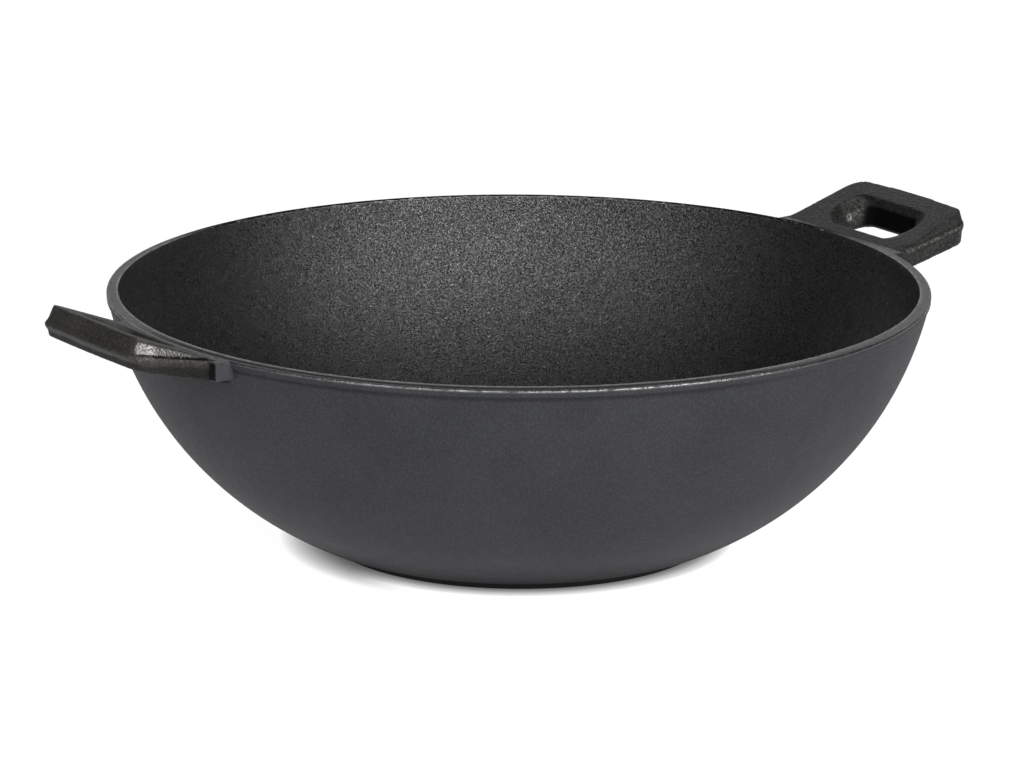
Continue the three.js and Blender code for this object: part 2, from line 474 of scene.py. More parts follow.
OUTER_SKIN = Skin((0.0232, 0.0239, 0.0276), (0.0276, 0.0283, 0.0322), 0.64, 0.16, 1.0 * MM, 0.3 * MM, 0.05)
INNER_SKIN = Skin((0.004, 0.0042, 0.0041), (0.006, 0.0062, 0.0061), 0.26, 0.36, 0.8 * MM, 0.42 * MM, 0.5)
RIM_SKIN = Skin((0.011, 0.0112, 0.0109), (0.016, 0.0162, 0.0158), 0.36, 0.34, 1.2 * MM, 0.5 * MM, 0.3)
FOOT_SKIN = Skin((0.008, 0.008, 0.0085), (0.012, 0.012, 0.012), 0.65, 0.3, 0.9 * MM, 0.06 * MM)
HANDLE_SKIN = Skin((0.0085, 0.0083, 0.008), (0.0125, 0.0121, 0.0116), 0.48, 0.16, 1.3 * MM, 0.45 * MM, 0.06)
WARM_SKIN = Skin((0.017, 0.0161, 0.0148), (0.028, 0.0264, 0.024), 0.5, 0.22, 1.3 * MM, 0.4 * MM, 0.06)
PAD_SKIN = Skin((0.034, 0.0349, 0.0405), (0.041, 0.042, 0.048), 0.6, 0.2, 1.0 * MM, 0.2 * MM, 0.05)


@dataclass(frozen=True)
class IronFinish:
    """Seasoned cast iron, with bare iron where the film is worn."""

    name: str
    skin: Skin
    bare: Colour

    def wear(self, graph: NodeGraph) -> Value:
        """Where the film is rubbed off, from 0 to 1."""
        return graph.noise(30 * MM).step(0.75, 0.95)

    def soot_and_shade(self, graph: NodeGraph) -> Value:
        """Where the skin is matt and black, from 0 to 1."""
        return graph.noise(25 * MM).step(0.8, 1.0)

    def shader(self, graph: NodeGraph) -> Socket:
        """Build the finish's shader in a graph."""
        return self.skin.shader(graph, self.wear(graph), self.bare, self.soot_and_shade(graph))

    def dress(self, piece: Piece) -> None:
        """Put the finish on a piece.

        Args:
            piece: The object.
        """
        material = bpy.data.materials.new(self.name)
        graph = NodeGraph(material)
        graph.surface(self.shader(graph))
        piece.data.materials.clear()
        piece.data.materials.append(material)


@dataclass(frozen=True)
class BowlFinish(IronFinish):
    """The bowl's iron: matt outside, coarse and glistening inside, worn along the rim's edges."""

    inner_skin: Skin
    rim_skin: Skin
    side_centre: Flat
    side_radius: float
    wall: float
    underside: float
    rim_edges: Pairs
    bead_foot: float
    side_blur: float = 0.4 * MM
    edge_reach: Flat = (1.1 * MM, 0.3 * MM)
    edge_wear: float = 0.78
    back: Flat = (0.57, 0.82)
    back_reach: Flat = (70 * MM, 120 * MM)
    # Painted shade on the back rim and low on the outside
    back_painted_shade: float = 0.95
    low_shade_reach: Flat = (24 * MM, 3 * MM)
    low_painted_shade: float = 0.55
    front_reach: Flat = (-60 * MM, -115 * MM)
    right_reach: Flat = (60 * MM, 150 * MM)
    # Painted shade in the front rim's hollows
    hollow_painted_shade: float = 0.72
    hollow_fade: float = 0.37
    hollow_drift: float = 1.4 * MM
    crease_painted_shadow: float = 0.34

    def inside(self, graph: NodeGraph) -> Value:
        """1 on the inner side of the bowl, 0 on the outer side.

        Args:
            graph: The material's nodes.

        Returns:
            A value from 0 to 1.
        """
        x, y, z = graph.axes()
        out = (x.hypot(y) - self.side_centre[0]).hypot(z - self.side_centre[1])
        middle = self.side_radius - self.wall / 2
        inner = out.step(middle + self.side_blur, middle - self.side_blur)
        return inner * z.step(self.underside + 1 * MM, self.underside + 2 * MM)

    def on_rim(self, graph: NodeGraph) -> Value:
        """1 on the sloping top of the rim, 0 on both sides of the bowl.

        Args:
            graph: The material's nodes.

        Returns:
            A value from 0 to 1.
        """
        x, y, z = graph.axes()
        (inner, top), (outer, edge) = self.rim_edges
        slope = (top - edge) / (outer - inner)
        return (z - top + (x.hypot(y) - inner) * slope).step(-0.6 * MM, -0.3 * MM)

    def wear(self, graph: NodeGraph) -> Value:
        """Bare iron along the edges of the rim, broken up by a fine pattern.

        Args:
            graph: The material's nodes.

        Returns:
            A value from 0 to 1.
        """
        x, y, z = graph.axes()
        out = x.hypot(y)
        inner, outer = (
            (out - radius).hypot(z - height).step(*self.edge_reach)
            for radius, height in self.rim_edges
        )
        return inner.most(outer) * graph.noise(4 * MM, 4.0, 0.6).step(0.25, 0.6) * self.edge_wear

    def soot_and_shade(self, graph: NodeGraph) -> Value:
        """Painted shade: black on the rim's top at the back, in the front rim's hollows, and on the outside
        towards the bottom.

        Args:
            graph: The material's nodes.

        Returns:
            A value from 0 to 1.
        """
        x, y, z = graph.axes()
        behind = x * self.back[0] + y * self.back[1]
        # Painted shade: the rim's top black towards the back, broken where the film is rubbed off
        back = behind.step(*self.back_reach) * self.on_rim(graph) * self.back_painted_shade
        rubbed = self.wear(graph).step(0.3, 0.6) * graph.noise(3 * MM, 3.0).step(0.52, 0.64)
        # Painted shade: the outside darker towards the bottom, near the table
        low = z.step(*self.low_shade_reach) * (1 - self.inside(graph)) * self.low_painted_shade
        # Painted shade in the front rim's hollows: the middle of its top and the crease under its bead
        front = self.hollows(graph) * behind.step(*self.front_reach)
        return (back * (1 - rubbed)).most(low).most(front)

    def hollows(self, graph: NodeGraph) -> Value:
        """How black the painted shade is on the middle of the rim's top and in the crease under its bead.

        Args:
            graph: The material's nodes.

        Returns:
            A value from 0 to 1.
        """
        x, y, z = graph.axes()
        (inner, _), (outer, _) = self.rim_edges
        foot = self.bead_foot
        right = (x * self.back[1] - y * self.back[0]).step(*self.right_reach)
        out = x.hypot(y) - right * self.hollow_drift
        middle = out.band((inner + 1.1 * MM, inner + 1.9 * MM), (outer - 1.3 * MM, outer - 0.5 * MM))
        crease = z.band((foot - 2 * MM, foot - 0.5 * MM), (foot, foot + 1.1 * MM)) * (1 - right)
        middle = middle * self.on_rim(graph) * (self.hollow_painted_shade - self.hollow_fade * right)
        return middle.most(crease * (1 - self.inside(graph)) * self.crease_painted_shadow)

    def shader(self, graph: NodeGraph) -> Socket:
        """Build the finish's shader, with a skin for each side of the bowl and for the rim.

        Args:
            graph: The material's nodes.

        Returns:
            The shader socket.
        """
        worn, soot_and_shade = self.wear(graph), self.soot_and_shade(graph)
        outer, inner, rim = (
            skin.shader(graph, worn, self.bare, soot_and_shade)
            for skin in (self.skin, self.inner_skin, self.rim_skin)
        )
        return graph.blend(self.on_rim(graph), graph.blend(self.inside(graph), outer, inner), rim)


@dataclass(frozen=True)
class Rub:
    """A spot that is rubbed bare."""

    centre: Point
    reach: float
    strength: float


@dataclass(frozen=True)
class HandleFinish(IronFinish):
    """A handle's iron: rubbed along its edges, and ground bright on the upper bevel in front.

    The pitches are the slopes of its levels out from the rim. Ground and ridge say how strong the wear is
    on the bevel and the parting line, and the other two strengths how strong the painted shade is in the
    groove above it and on the side below it.
    """

    ground: float
    facet: tuple[Point, Point]
    rim: Flat
    top_pitch: float
    parting_pitch: float
    under_pitch: float
    under_drop: float
    ridge: float
    # Strength of the painted shadow in the groove above the parting line
    groove: float
    # Strength of the painted shade on the lower side
    low_side_shade: float
    rubs: tuple[Rub, ...]
    edge_wear: float = 0.36
    facet_blur: float = 1.5 * MM
    hole_near: Flat = (2 * MM, 4 * MM)
    hole_far: Flat = (28.5 * MM, 30 * MM)
    hole_side: Flat = (19.5 * MM, 16 * MM)
    # Strength of the painted shade deep in the finger hole
    hole_painted_shade: float = 0.95
    bevel_foot: Flat = (-0.5 * MM, 0.1 * MM)
    bevel_crest: Flat = (0.1 * MM, -0.6 * MM)
    crest_share: float = 0.75
    ridge_band: Pairs = ((-2.6 * MM, -1.9 * MM), (-1.1 * MM, -0.4 * MM))
    ridge_front: Flat = (-37 * MM, -39 * MM)
    groove_band: Pairs = ((-0.9 * MM, -0.6 * MM), (0.2 * MM, 0.6 * MM))
    groove_front: Flat = (-36 * MM, -38 * MM)
    low_side: Flat = (-3.2 * MM, -5.4 * MM)
    low_waver: float = 4 * MM

    def out(self, graph: NodeGraph) -> Value:
        """The distance out from the bowl's rim, in metres."""
        return abs(graph.axes()[0]) - self.rim[0]

    def level(self, graph: NodeGraph, pitch: float) -> Value:
        """The height above a plane that rises from the rim by some pitch, in metres."""
        return graph.axes()[2] - self.rim[1] - self.out(graph) * pitch

    def wear(self, graph: NodeGraph) -> Value:
        """Bare iron along the edges, on the ground bevel and in the rubbed spots.

        Args:
            graph: The material's nodes.

        Returns:
            A value from 0 to 1.
        """
        edge = Value(graph, graph.add("ShaderNodeNewGeometry").outputs["Pointiness"])
        broken = graph.noise(2.2 * MM, 4.0, 0.65).step(0.35, 0.65)
        worn = edge.step(0.508, 0.55) * broken * self.edge_wear
        worn = worn.most(self.ground_bevel(graph)).most(self.ridge_wear(graph))
        for rub in self.rubs:
            worn = worn.most(self.rubbed(graph, rub))
        return worn

    def ground_bevel(self, graph: NodeGraph) -> Value:
        """Bare iron on the upper bevel of the front side, with a ragged edge.

        Args:
            graph: The material's nodes.

        Returns:
            A value from 0 to 1.
        """
        crest = (1 - self.crest_share) * self.parting_pitch + self.crest_share * self.top_pitch
        within = self.tilted(graph) * self.level(graph, self.parting_pitch).step(*self.bevel_foot)
        within = within * self.level(graph, crest).step(*self.bevel_crest)
        blur = self.facet_blur
        for axis, low, high in zip(graph.axes(), *self.facet):
            within = within * axis.band((low, low + blur), (high - blur, high))
        ragged = (within + 0.9 * (graph.noise(2 * MM, 3.0, 0.6) - 0.5)).step(0.25, 0.75)
        return ragged * graph.specks(0.9 * MM, 0.3, 0.66) * within.step(0.02, 0.2) * self.ground

    def ridge_wear(self, graph: NodeGraph) -> Value:
        """Bare spots along the parting line of the front side.

        Args:
            graph: The material's nodes.

        Returns:
            A value from 0 to 1.
        """
        level = self.level(graph, self.parting_pitch)
        line = level.band(*self.ridge_band) * graph.axes()[1].step(*self.ridge_front)
        return line * graph.specks(1.1 * MM, 0.42, 0.66) * self.ridge

    def rubbed(self, graph: NodeGraph, rub: Rub) -> Value:
        """Bare iron in one rubbed spot.

        Args:
            graph: The material's nodes.
            rub: The spot.

        Returns:
            A value from 0 to 1.
        """
        x, y, z = (axis - place for axis, place in zip(graph.axes(), rub.centre))
        near = x.hypot(y).hypot(z).step(rub.reach, 0.4 * rub.reach)
        return near * graph.specks(1.4 * MM, 0.34, 0.62) * rub.strength

    def soot_and_shade(self, graph: NodeGraph) -> Value:
        """Painted shade: black deep in the finger hole, in the groove above the parting line and on the
        side below it.

        Args:
            graph: The material's nodes.

        Returns:
            A value from 0 to 1.
        """
        y = graph.axes()[1]
        # Painted shade deep in the finger hole, below its waist
        hole = self.out(graph).band(self.hole_near, self.hole_far) * abs(y).step(*self.hole_side)
        below = self.level(graph, self.top_pitch).step(-3 * MM, -4.8 * MM)
        above = (self.level(graph, self.under_pitch) + self.under_drop).step(0.8 * MM, 1.8 * MM)
        level = self.level(graph, self.parting_pitch)
        # Painted shadow in the groove above the parting line, on the front side
        groove = level.band(*self.groove_band) * y.step(*self.groove_front)
        groove = groove * graph.noise(2.5 * MM, 3.0, 0.6).step(0.3, 0.5) * self.groove
        # Painted shade on the lower side, under the parting line
        uneven = self.low_waver * (graph.noise(9 * MM, 3.0) - 0.5)
        low = (level + uneven).step(*self.low_side) * self.low_side_shade
        return (hole * below * above * self.hole_painted_shade).most(groove).most(low)

    def tilted(self, graph: NodeGraph) -> Value:
        """1 where the surface leans up and to the front, as the bevel does."""
        _, y, z = graph.split(graph.add("ShaderNodeNewGeometry").outputs["True Normal"])
        return y.step(-0.1, -0.6) * z.step(0.08, 0.25)


@dataclass(frozen=True)
class PadFinish(IronFinish):
    """A root pad's iron: painted shade, black, on its outer face, and rubbed along its upper edge."""

    face: float
    top: float
    edge_wear: float = 0.5
    # Strength of the painted shade on the outer face
    face_painted_shade: float = 0.85

    def wear(self, graph: NodeGraph) -> Value:
        """Bare spots along the upper edge."""
        edge = graph.axes()[2].step(self.top - 1.1 * MM, self.top - 0.3 * MM)
        return edge * graph.specks(1.2 * MM, 0.42, 0.62) * self.edge_wear

    def soot_and_shade(self, graph: NodeGraph) -> Value:
        """Painted shade: black on the face that the loop grows out of."""
        out = abs(graph.axes()[0])
        return out.step(self.face - 0.6 * MM, self.face - 0.2 * MM) * self.face_painted_shade


@dataclass
class WokBowl:
    """The bowl: a turned shell with a flat floor, a curved side and a beaded rim.

    Base_next and rim_next say how far along the side the next point after a corner lies.
    """

    wall: float = 5 * MM
    side_radius: float = 151 * MM
    base_radius: float = 89 * MM
    base_edge: float = 12 * MM
    base_next: float = 20 * MM
    floor_blend: float = 60 * MM
    bead_height: float = 4.4 * MM
    bead_proud: float = 0.9 * MM
    bead_neck: float = 0.7 * MM
    bead_lip: float = 0.45 * MM
    lip_inset: float = 0.15 * MM
    rim_fall: float = 0.7 * MM
    rim_outer: float = 0.9 * MM
    rim_inner: float = 0.35 * MM
    rim_next: float = 6 * MM
    wear_inset: float = 0.2 * MM
    turns: int = 320
    side_steps: int = 40
    blend_steps: int = 12
    flat_steps: int = 6
    wave: float = 30 * MM
    wave_depth: float = 0.12 * MM
    bare: Colour = (0.276, 0.28, 0.279)

    def __post_init__(self) -> None:
        """Take the outer sizes from the frame and work out the side's arc."""
        low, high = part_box("bowl")
        self.rim_radius = high.x
        self.rim_height = high.z
        self.underside = low.z
        start = (self.base_radius, self.underside)
        end = (self.rim_radius - self.bead_proud, self.rim_height - self.bead_height)
        self.side_centre = arc_centre(start, end, self.side_radius)

    def side_angle(self, point: Flat) -> float:
        """The angle of a point, seen from the centre of the side's arc."""
        return math.atan2(point[1] - self.side_centre[1], point[0] - self.side_centre[0])

    def side_point(self, radius: float, height: float) -> Flat:
        """The point of an arc round the side's centre that lies at some height."""
        rise = height - self.side_centre[1]
        return self.side_centre[0] + math.sqrt(radius ** 2 - rise ** 2), height

    def outside(self) -> list[Flat]:
        """The outer half of the profile.

        Returns:
            The points from the axis to the foot of the bead.
        """
        edge = (self.base_radius, self.underside)
        neck = self.side_point(self.side_radius, self.rim_height - self.bead_height - self.bead_neck)
        past = self.side_point(self.side_radius, self.underside + self.base_next)
        bend = rounded(edge, (0.0, self.underside), past, self.base_edge, self.flat_steps)
        start, end = self.side_angle(bend[-1]), self.side_angle(neck)
        side = arc(self.side_centre, self.side_radius, start, end, self.side_steps)
        steps = self.flat_steps
        flat = [(self.base_radius * i / steps, self.underside) for i in range(steps)]
        return flat + bend + side[1:]

    def rim(self) -> list[Flat]:
        """The rim's part of the profile: the bead, the sloping top and the inner edge.

        Returns:
            The points from the foot of the bead to under the inner edge.
        """
        top = self.rim_height
        below = self.side_point(self.side_radius, top - self.bead_height - 2 * self.bead_neck)
        neck = self.side_point(self.side_radius, top - self.bead_height)
        lip = (self.rim_radius - self.lip_inset, top - self.bead_height + self.bead_proud)
        outer = (self.rim_radius, top - self.rim_fall)
        inner = self.side_point(self.side_radius - self.wall, top)
        within = self.side_point(self.side_radius - self.wall, top - self.rim_next)
        return [
            *rounded(neck, below, lip, self.bead_neck, 4),
            *rounded(lip, neck, outer, self.bead_lip, 4),
            *rounded(outer, lip, inner, self.rim_outer, 5),
            *rounded(inner, outer, within, self.rim_inner, 4),
        ]

    def inside(self, top: Flat) -> list[Flat]:
        """The inner half of the profile.

        Args:
            top: The profile's last point on the rim.

        Returns:
            The points from under the rim to the axis.
        """
        radius = self.side_radius - self.wall
        level = self.underside + self.wall
        height = level + self.floor_blend
        reach = radius - self.floor_blend
        fall = self.side_centre[1] - height
        centre = (self.side_centre[0] + math.sqrt(reach ** 2 - fall ** 2), height)
        turn = self.side_angle(centre)
        side = arc(self.side_centre, radius, self.side_angle(top), turn, self.side_steps)
        blend = arc(centre, self.floor_blend, turn, -math.pi / 2, self.blend_steps)
        steps = self.flat_steps
        flat = [(centre[0] * (1 - i / steps), level) for i in range(1, steps + 1)]
        return side[1:] + blend[1:] + flat

    def finish(self) -> BowlFinish:
        """The bowl's iron, with the places of the edges that wear.

        Returns:
            The finish.
        """
        inner = self.side_point(self.side_radius - self.wall, self.rim_height)
        cut = CORNER_CUT * self.rim_outer
        outer = (self.rim_radius - cut, self.rim_height - self.rim_fall - cut)
        return BowlFinish(
            name="bowl_iron",
            skin=OUTER_SKIN,
            inner_skin=INNER_SKIN,
            rim_skin=RIM_SKIN,
            bare=self.bare,
            side_centre=self.side_centre,
            side_radius=self.side_radius,
            wall=self.wall,
            underside=self.underside,
            rim_edges=((inner[0] + self.wear_inset, inner[1]), outer),
            bead_foot=self.rim_height - self.bead_height,
        )

    def build(self) -> Piece:
        """Model and dress the bowl.

        Returns:
            The bowl's object.
        """
        piece = Bench.begin("wok_bowl")
        rim = self.rim()
        Bench.lathe(self.outside() + rim + self.inside(rim[-1]), self.turns)
        Bench.close()
        Bench.roughen(piece, self.wave, self.wave_depth)
        bpy.ops.object.shade_smooth_by_angle(angle=SOFT_ANGLE)
        self.finish().dress(piece)
        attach(piece, BODY)
        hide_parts("bowl")
        return piece


@dataclass
class FootRing:
    """The foot: a low ring under the bowl, with soft edges at the table."""

    width: float = 12 * MM
    edge: float = 0.8 * MM
    sink: float = 0.6 * MM
    flare: float = 0.3 * MM
    flare_height: float = 0.4 * MM
    turns: int = 256
    bare: Colour = (0.2, 0.2, 0.2)

    def profile(self) -> list[Flat]:
        """The ring's cross-section.

        Returns:
            The points of a closed line from its upper inner corner.
        """
        low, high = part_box("foot_ring")
        outer = high.x
        inner = outer - self.width
        top = high.z + self.sink
        toe = (outer, low.z)
        heel = (inner, low.z)
        return [
            (inner, top),
            *rounded(heel, (inner, top), toe, self.edge, 5),
            *rounded(toe, heel, (outer, top), self.edge, 5),
            (outer, high.z - self.flare_height),
            (outer + self.flare, high.z),
            (outer + self.flare, top),
            (inner, top),
        ]

    def build(self) -> Piece:
        """Model and dress the foot.

        Returns:
            The foot's object.
        """
        piece = Bench.begin("wok_foot")
        Bench.lathe(self.profile(), self.turns)
        Bench.close()
        bpy.ops.object.shade_smooth_by_angle(angle=SOFT_ANGLE)
        IronFinish("foot_iron", FOOT_SKIN, self.bare).dress(piece)
        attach(piece, BODY)
        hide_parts("foot_ring")
        return piece


@dataclass
class LoopHandle:
    """A loop handle: a rising frame round a finger hole, with a pad where it leaves the bowl.

    Pairs of sizes are for the two halves of the handle, the clockwise one first, seen from above.
    The foot and the top of the bead are shares of its land, and the root's start is the share of its
    half that stays without points. The centre of a rub is given out from the rim, across and down from
    the upper face.
    """

    side: Side
    root_half: Flat
    end_half: Flat
    corner: Flat
    under_depth: float
    bow: float = 1 * MM
    lift: float = 0.0
    root_sink: float = 3.7 * MM
    root_drop: float = 0.3 * MM
    root_start: float = 0.06
    parting_drop: float = 0.9 * MM
    parting_rise: float = math.radians(13.2)
    land: float = 3.5 * MM
    bead_side: float = 0.5 * MM
    bead_end: float = 0.8 * MM
    bead_foot: float = 0.65
    bead_top: float = 0.15
    under_rise: float = math.radians(13.2)
    under_side: float = 0.5 * MM
    under_end: float = 0.4 * MM
    top_drop: float = 0.2 * MM
    top_rise: float = math.radians(20.3)
    top_root: float = 1 * MM
    top_side: float = 3 * MM
    top_end: float = 2.8 * MM
    hole_start: float = 5 * MM
    hole_length: float = 22.2 * MM
    hole_half: float = 21.3 * MM
    hole_shift: float = -1.6 * MM
    hole_corners: Pairs = ((8 * MM, 8 * MM), (8 * MM, 8 * MM))
    hole_waist_drop: float = 0.3 * MM
    hole_near_flare: float = 0.8 * MM
    hole_far_flare: float = 1.1 * MM
    hole_end_flare: float = 7.4 * MM
    hole_top_corners: Pairs = ((7.5 * MM, 11.5 * MM), (15 * MM, 8.5 * MM))
    hole_under_draw: float = 0.8 * MM
    pad_proud: float = 2.3 * MM
    pad_half: float = 44 * MM
    pad_drop: float = 0.6 * MM
    pad_height: float = 8.2 * MM
    pad_edge: float = 0.8 * MM
    pad_corner: float = 1 * MM
    steps: int = 8
    voxel: float = 0.45 * MM
    softness: int = 8
    smoothing: float = 0.5
    humps: float = 1.4 * MM
    hump_depth: float = 0.2 * MM
    skin: Skin = HANDLE_SKIN
    pad_skin: Skin = HANDLE_SKIN
    bare: Colour = (0.36, 0.35, 0.335)
    pad_bare: Colour = (0.28, 0.278, 0.27)
    ground: float = 0.05
    ridge: float = 0.45
    # Strengths of the painted shade in the groove and on the lower side
    groove: float = 0.3
    low_side_shade: float = 0.0
    facet_ends: Flat = (2 * MM, 0.5 * MM)
    facet_across: Flat = (-45 * MM, -33.5 * MM)
    facet_up: Flat = (-1 * MM, 14 * MM)
    rubs: tuple[Rub, ...] = (
        Rub((22 * MM, 22 * MM, 4 * MM), 9 * MM, 0.26),
        Rub((17.5 * MM, 18.8 * MM, 5.2 * MM), 2.8 * MM, 0.9),
    )

    def __post_init__(self) -> None:
        """Take the rim's place and the handle's reach from the frame."""
        _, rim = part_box("bowl")
        _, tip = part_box(Side.RIGHT.node)
        self.rim_radius = rim.x
        self.rim_height = rim.z
        self.reach = tip.x - rim.x
        self.turned = -1 if self.side is Side.LEFT else 1

    def pitch(self, rise: float) -> float:
        """The slope of a level that rises by some angle, with the handle's own lift."""
        return math.tan(rise) + self.lift / self.reach

    def top(self, out: float) -> float:
        """The height of the upper face at some distance out from the rim."""
        return self.rim_height - self.top_drop + out * self.pitch(self.top_rise)

    def parting(self, out: float) -> float:
        """The height of the parting line at some distance out from the rim."""
        return self.rim_height - self.parting_drop + out * self.pitch(self.parting_rise)

    def under(self, out: float) -> float:
        """The height of the lower face at some distance out from the rim."""
        start = self.rim_height - self.parting_drop - self.under_depth
        return start + out * self.pitch(self.under_rise)

    def root(self, half: float) -> list[Flat]:
        """Half of the edge inside the bowl's wall.

        Args:
            half: The half's width.

        Returns:
            The points from the middle to one side and out to the rim.
        """
        radius = self.rim_radius - self.root_sink
        spread = math.asin(half / radius)
        start = self.root_start * spread
        return arc((-self.rim_radius, 0.0), radius, start, spread, self.steps - 1) + [(0.0, half)]

    def half_outline(self, half: float, end: float, end_half: float, corner: float) -> list[Flat]:
        """Half of an outline in plan, from the root round the outer corner to the middle of the end.

        Args:
            half: The half's width at the root.
            end: How far it reaches out from the rim at the corner.
            end_half: The half's width at the outer end.
            corner: The radius of its outer corner.

        Returns:
            The points, out from the rim and across.
        """
        root = self.root(half)
        turn = rounded((end, end_half), root[-1], (end, 0.0), corner, self.steps)
        span = turn[-1][1]
        bowed = [(end + self.bow * (1 - share ** 2), span * share) for share in END_SHARES]
        return root + turn + bowed

    def loop_outline(self, root: float, side: float, end: float) -> list[Flat]:
        """The loop's outline, anticlockwise.

        Args:
            root: How much it is drawn in at the root.
            side: How much it is drawn in at the sides.
            end: How much it is drawn in at the outer end.

        Returns:
            The points, out from the rim and across.
        """
        reach = self.reach - self.bow - end
        first, second = (
            self.half_outline(half - root, reach, end_half - side, corner - side)
            for half, end_half, corner in zip(self.root_half, self.end_half, self.corner)
        )
        return [(x, -y) for x, y in first] + [(self.reach - end, 0.0)] + second[::-1]

    def hole_outline(
        self, near_flare: float, far_flare: float, end_flare: float, corners: Pairs
    ) -> list[Flat]:
        """The finger hole's outline, grown from its waist, anticlockwise.

        Args:
            near_flare: How much it is grown towards the bowl.
            far_flare: How much it is grown away from the bowl.
            end_flare: How much it is grown at each end.
            corners: The radii of the near and the far corner, for each half of the handle.

        Returns:
            The points, out from the rim and across.
        """
        near = self.hole_start - near_flare
        far = self.hole_start + self.hole_length + far_flare
        half = self.hole_half + end_flare
        halves = []
        for near_corner, far_corner in corners:
            turn = rounded((near, half), (near, 0.0), (far, half), near_corner, self.steps)
            turn += rounded((far, half), (near, half), (far, 0.0), far_corner, self.steps)
            turn += [(far, (half - far_corner) * share) for share in END_SHARES]
            halves.append(turn)
        first = [(x, self.hole_shift - y) for x, y in halves[0]]
        second = [(x, self.hole_shift + y) for x, y in halves[1]]
        return first + [(far, self.hole_shift)] + second[::-1]

    def pad_outline(self, inset: float) -> list[Flat]:
        """The root pad's outline, anticlockwise.

        Args:
            inset: How much it is drawn in.

        Returns:
            The points, out from the rim and across.
        """
        half, proud = self.pad_half - inset, self.pad_proud - inset
        turn = self.root(half)[:-1]
        turn += rounded((proud, half), turn[-1], (proud, 0.0), self.pad_corner, self.steps // 2)
        return [(x, -y) for x, y in turn] + turn[::-1]

    def lifted(
        self, outline: list[Flat], level: Callable[[float], float], up: float = 0.0
    ) -> list[Point]:
        """Lift an outline onto a sloping level.

        Args:
            outline: Points out from the rim and across.
            level: A method that gives the height at some distance out.
            up: A height to add.

        Returns:
            The points in the frame, with those inside the wall a little lower.
        """
        wall = self.rim_radius - self.root_sink / 2
        points = []
        for out, y in outline:
            x = self.rim_radius + out
            drop = self.root_drop if math.hypot(x, y) < wall else 0.0
            points.append((x, y, level(out) + up - drop))
        return points

    def pad_level(self, _: float) -> float:
        """The height of the root pad's upper face."""
        return self.rim_height - self.pad_drop

    def loop_rings(self) -> list[list[Point]]:
        """The rings of the loop's skin, round its section.

        Returns:
            The rings up the outside, from below, and then back down the hole.
        """
        body = self.loop_outline(0.0, self.bead_side, self.bead_end)
        bead = self.loop_outline(0.0, 0.0, 0.0)
        under_side, under_end = self.bead_side + self.under_side, self.bead_end + self.under_end
        under = self.loop_outline(self.under_side, under_side, under_end)
        top = self.loop_outline(self.top_root, self.top_side, self.bead_end + self.top_end)
        flares = (self.hole_near_flare, self.hole_far_flare, self.hole_end_flare, self.hole_top_corners)
        waist = self.hole_outline(0.0, 0.0, 0.0, self.hole_corners)
        draw = -self.hole_under_draw
        return [
            self.lifted(under, self.under),
            self.lifted(body, self.parting, -self.land),
            self.lifted(bead, self.parting, -self.bead_foot * self.land),
            self.lifted(bead, self.parting, -self.bead_top * self.land),
            self.lifted(body, self.parting, self.bead_top * self.land),
            self.lifted(top, self.top),
            self.lifted(self.hole_outline(*flares), self.top),
            self.lifted(waist, self.parting, -self.hole_waist_drop),
            self.lifted(self.hole_outline(0.0, draw, draw, self.hole_corners), self.under),
        ]

    def pad_rings(self) -> list[list[Point]]:
        """The rings of the root pad's skin.

        Returns:
            The rings from below.
        """
        small, full = self.pad_outline(self.pad_edge), self.pad_outline(0.0)
        return [
            self.lifted(small, self.pad_level, -self.pad_height),
            self.lifted(full, self.pad_level, self.pad_edge - self.pad_height),
            self.lifted(full, self.pad_level, -self.pad_edge),
            self.lifted(small, self.pad_level),
        ]

    def turn(self) -> None:
        """Turn what is selected in edit mode to the handle's own side of the bowl."""
        bpy.ops.mesh.select_all(action="SELECT")
        if self.side is Side.LEFT:
            bpy.ops.transform.rotate(value=math.pi, orient_axis="Z", center_override=(0, 0, 0))

    def build_loop(self) -> Piece:
        """Model and dress the loop, with the soft edges and the rough skin of a casting.

        Returns:
            The loop's object.
        """
        piece = Bench.begin(f"wok_{self.side.node}")
        Bench.skin(piece, self.loop_rings(), closed=True)
        self.turn()
        Bench.close()
        Bench.modify(piece, "REMESH", mode="VOXEL", voxel_size=self.voxel)
        Bench.modify(piece, "SMOOTH", factor=self.smoothing, iterations=self.softness)
        Bench.roughen(piece, self.humps, self.hump_depth)
        bpy.ops.object.shade_smooth()
        finish = HandleFinish(
            name=f"{self.side.value}_handle_iron",
            skin=self.skin,
            bare=self.bare,
            ground=self.ground,
            facet=self.facet(),
            rim=(self.rim_radius, self.rim_height),
            top_pitch=self.pitch(self.top_rise),
            parting_pitch=self.pitch(self.parting_rise),
            under_pitch=self.pitch(self.under_rise),
            under_drop=self.parting_drop + self.under_depth,
            ridge=self.ridge,
            groove=self.groove,
            low_side_shade=self.low_side_shade,
            rubs=tuple(self.placed(rub) for rub in self.rubs),
        )
        finish.dress(piece)
        return piece

    def build_pad(self) -> Piece:
        """Model and dress the root pad.

        Returns:
            The pad's object.
        """
        piece = Bench.begin(f"wok_{self.side.value}_pad")
        rings = self.pad_rings()
        Bench.skin(piece, rings, closed=False)
        Bench.fill(piece, rings[0])
        Bench.fill(piece, rings[-1])
        self.turn()
        Bench.close()
        bpy.ops.object.shade_smooth_by_angle(angle=PAD_SOFT_ANGLE)
        finish = PadFinish(
            name=f"{self.side.value}_pad_iron",
            skin=self.pad_skin,
            bare=self.pad_bare,
            face=self.rim_radius + self.pad_proud,
            top=self.pad_level(0.0),
        )
        finish.dress(piece)
        return piece

